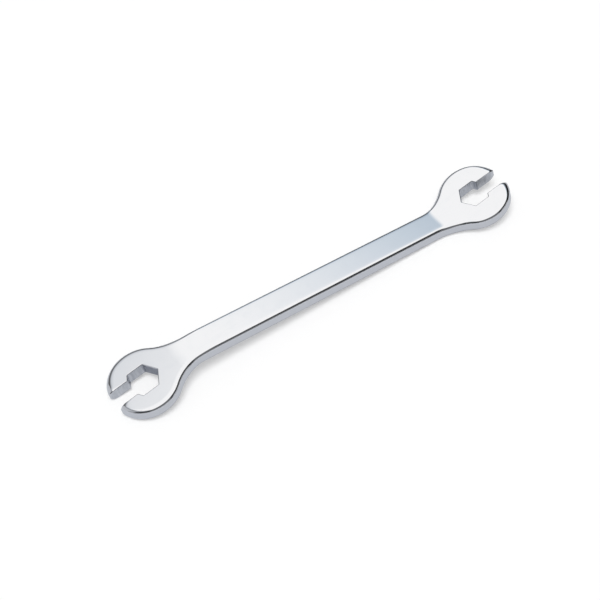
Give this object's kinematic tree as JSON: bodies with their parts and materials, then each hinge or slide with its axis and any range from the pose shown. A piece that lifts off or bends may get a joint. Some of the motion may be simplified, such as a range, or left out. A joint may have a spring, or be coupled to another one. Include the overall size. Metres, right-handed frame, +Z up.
{
  "type": "brake adjusting wrench",
  "caption": "Flat double-ended steel wrench with a slotted hexagon jaw at each end, heads bent opposite ways, for turning brake unions over their pipe.",
  "frame": {"origin": "centre of the bounding box on the surface the wrench lies on", "axes": "+X along the wrench towards the smaller jaw, +Z up as the wrench lies at rest, +Y to the left of +X"},
  "size_m": [0.1692, 0.0272, 0.011],
  "materials": {
    "chrome_plate": "bright chrome plate over polished forged steel"
  },
  "bodies": {
    "root": {"wrench_body": "chrome_plate"}
  },
  "joints": []
}
